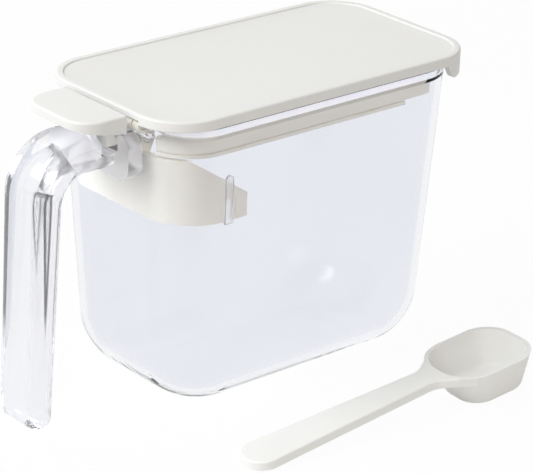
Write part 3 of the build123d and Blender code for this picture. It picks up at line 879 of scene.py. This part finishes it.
def add_table(azimuth, edge):
    mesh = bpy.data.meshes.new("table_top")
    corners = [(x * TABLE_HALF, y * TABLE_HALF, 0) for x, y in ((-1, -1), (1, -1), (1, 1), (-1, 1))]
    mesh.from_pydata(corners, [], [(0, 1, 2, 3)])
    table = linked_object("table_top", mesh)
    table.location.z = -TABLE_DROP
    towards_camera = (math.sin(azimuth), -math.cos(azimuth), 0)
    mesh.materials.append(white_sheet("WhiteTable", towards_camera, edge))


def add_world(light, warm):
    """A plain world: white where it is seen, warm and weaker as light on the object."""
    world = bpy.data.worlds.new("Studio")
    bpy.context.scene.world = world
    world.use_nodes = True
    tree = world.node_tree
    background = tree.nodes["Background"]
    seen = seen_plainly(tree, tree.nodes.new("ShaderNodeLightPath"))
    tree.links.new(mapped_range(tree, seen, (0, 1), (light, 1)), background.inputs["Strength"])
    colour = tree.nodes.new("ShaderNodeMix")
    colour.data_type = "RGBA"
    colour.inputs["A"].default_value = warm
    colour.inputs["B"].default_value = (1, 1, 1, 1)
    tree.links.new(seen, colour.inputs["Factor"])
    tree.links.new(colour.outputs["Result"], background.inputs["Color"])


def add_camera(settings):
    azimuth, elevation, roll = settings.azimuth, settings.elevation, settings.roll
    back = Vector((
        math.sin(azimuth) * math.cos(elevation),
        -math.cos(azimuth) * math.cos(elevation),
        math.sin(elevation),
    ))
    level = Vector((math.cos(azimuth), math.sin(azimuth), 0))
    upright = back.cross(level)
    right = math.cos(roll) * level + math.sin(roll) * upright
    up = -math.sin(roll) * level + math.cos(roll) * upright
    camera = linked_object("photo_camera", bpy.data.cameras.new("photo_camera"))
    turn = Matrix((right, up, back)).transposed().to_4x4()
    camera.matrix_world = Matrix.Translation(Vector(settings.camera_place)) @ turn
    camera.data.lens = settings.lens
    camera.data.sensor_width = SENSOR_WIDTH
    camera.data.sensor_fit = "HORIZONTAL"
    camera.data.clip_start = 0.05
    camera.data.clip_end = 20.0
    bpy.context.scene.camera = camera


class CONTAINER_OT_stage(bpy.types.Operator):
    """Set the white table, the lamps and the camera"""

    bl_idname = "container.stage"
    bl_label = "Table, lamps and camera"

    def execute(self, context):
        stage = stage_settings()
        context.scene.view_settings.view_transform = "Standard"

        # Light crosses many faces in the thick handle, and too few bounces leave it black there
        context.scene.cycles.max_bounces = 24
        context.scene.cycles.glossy_bounces = 16
        context.scene.cycles.transmission_bounces = 20

        add_table(stage.azimuth, stage.sheet_edge)
        add_world(stage.world_light, stage.world_colour)
        for name, place, power, size, colour in (
            ("overhead", stage.key_place, stage.key_power, stage.key_size, stage.key_colour),
            ("front_fill", stage.fill_place, stage.fill_power, stage.fill_size, stage.fill_colour),
        ):
            add_area_lamp(name, place, stage.lamp_target, power, size, colour)
        add_camera(stage)
        return {"FINISHED"}


# Panel and registration


class CONTAINER_PT_panel(bpy.types.Panel):
    """Lists the settings and the pieces"""

    bl_idname = "CONTAINER_PT_panel"
    bl_label = "Seasoning Container"
    bl_space_type = "VIEW_3D"
    bl_region_type = "UI"
    bl_category = "Seasoning"

    def draw(self, context):
        for group in (resin(), pot_settings(), lid_settings(), stage_settings()):
            for name in group.__annotations__:
                self.layout.prop(group, name)
        for operator in STEPS:
            self.layout.operator(operator.bl_idname)


STEPS = (
    CONTAINER_OT_pot,
    CONTAINER_OT_lid,
    CONTAINER_OT_white_parts,
    CONTAINER_OT_seal_and_pins,
    CONTAINER_OT_spoon,
    CONTAINER_OT_stage,
)
CLASSES = (ResinSettings, PotSettings, LidSettings, StageSettings) + STEPS + (CONTAINER_PT_panel,)


def register():
    for each in CLASSES:
        bpy.utils.register_class(each)
    bpy.types.Scene.container_resin = bpy.props.PointerProperty(type=ResinSettings)
    bpy.types.Scene.container_pot = bpy.props.PointerProperty(type=PotSettings)
    bpy.types.Scene.container_lid = bpy.props.PointerProperty(type=LidSettings)
    bpy.types.Scene.container_stage = bpy.props.PointerProperty(type=StageSettings)


def unregister():
    del bpy.types.Scene.container_stage
    del bpy.types.Scene.container_lid
    del bpy.types.Scene.container_pot
    del bpy.types.Scene.container_resin
    for each in reversed(CLASSES):
        bpy.utils.unregister_class(each)


def main():
    register()
    bpy.ops.container.pot()
    bpy.ops.container.lid()
    bpy.ops.container.white_parts()
    bpy.ops.container.seal_and_pins()
    bpy.ops.container.spoon()
    bpy.ops.container.stage()


if __name__ == "__main__":
    main()
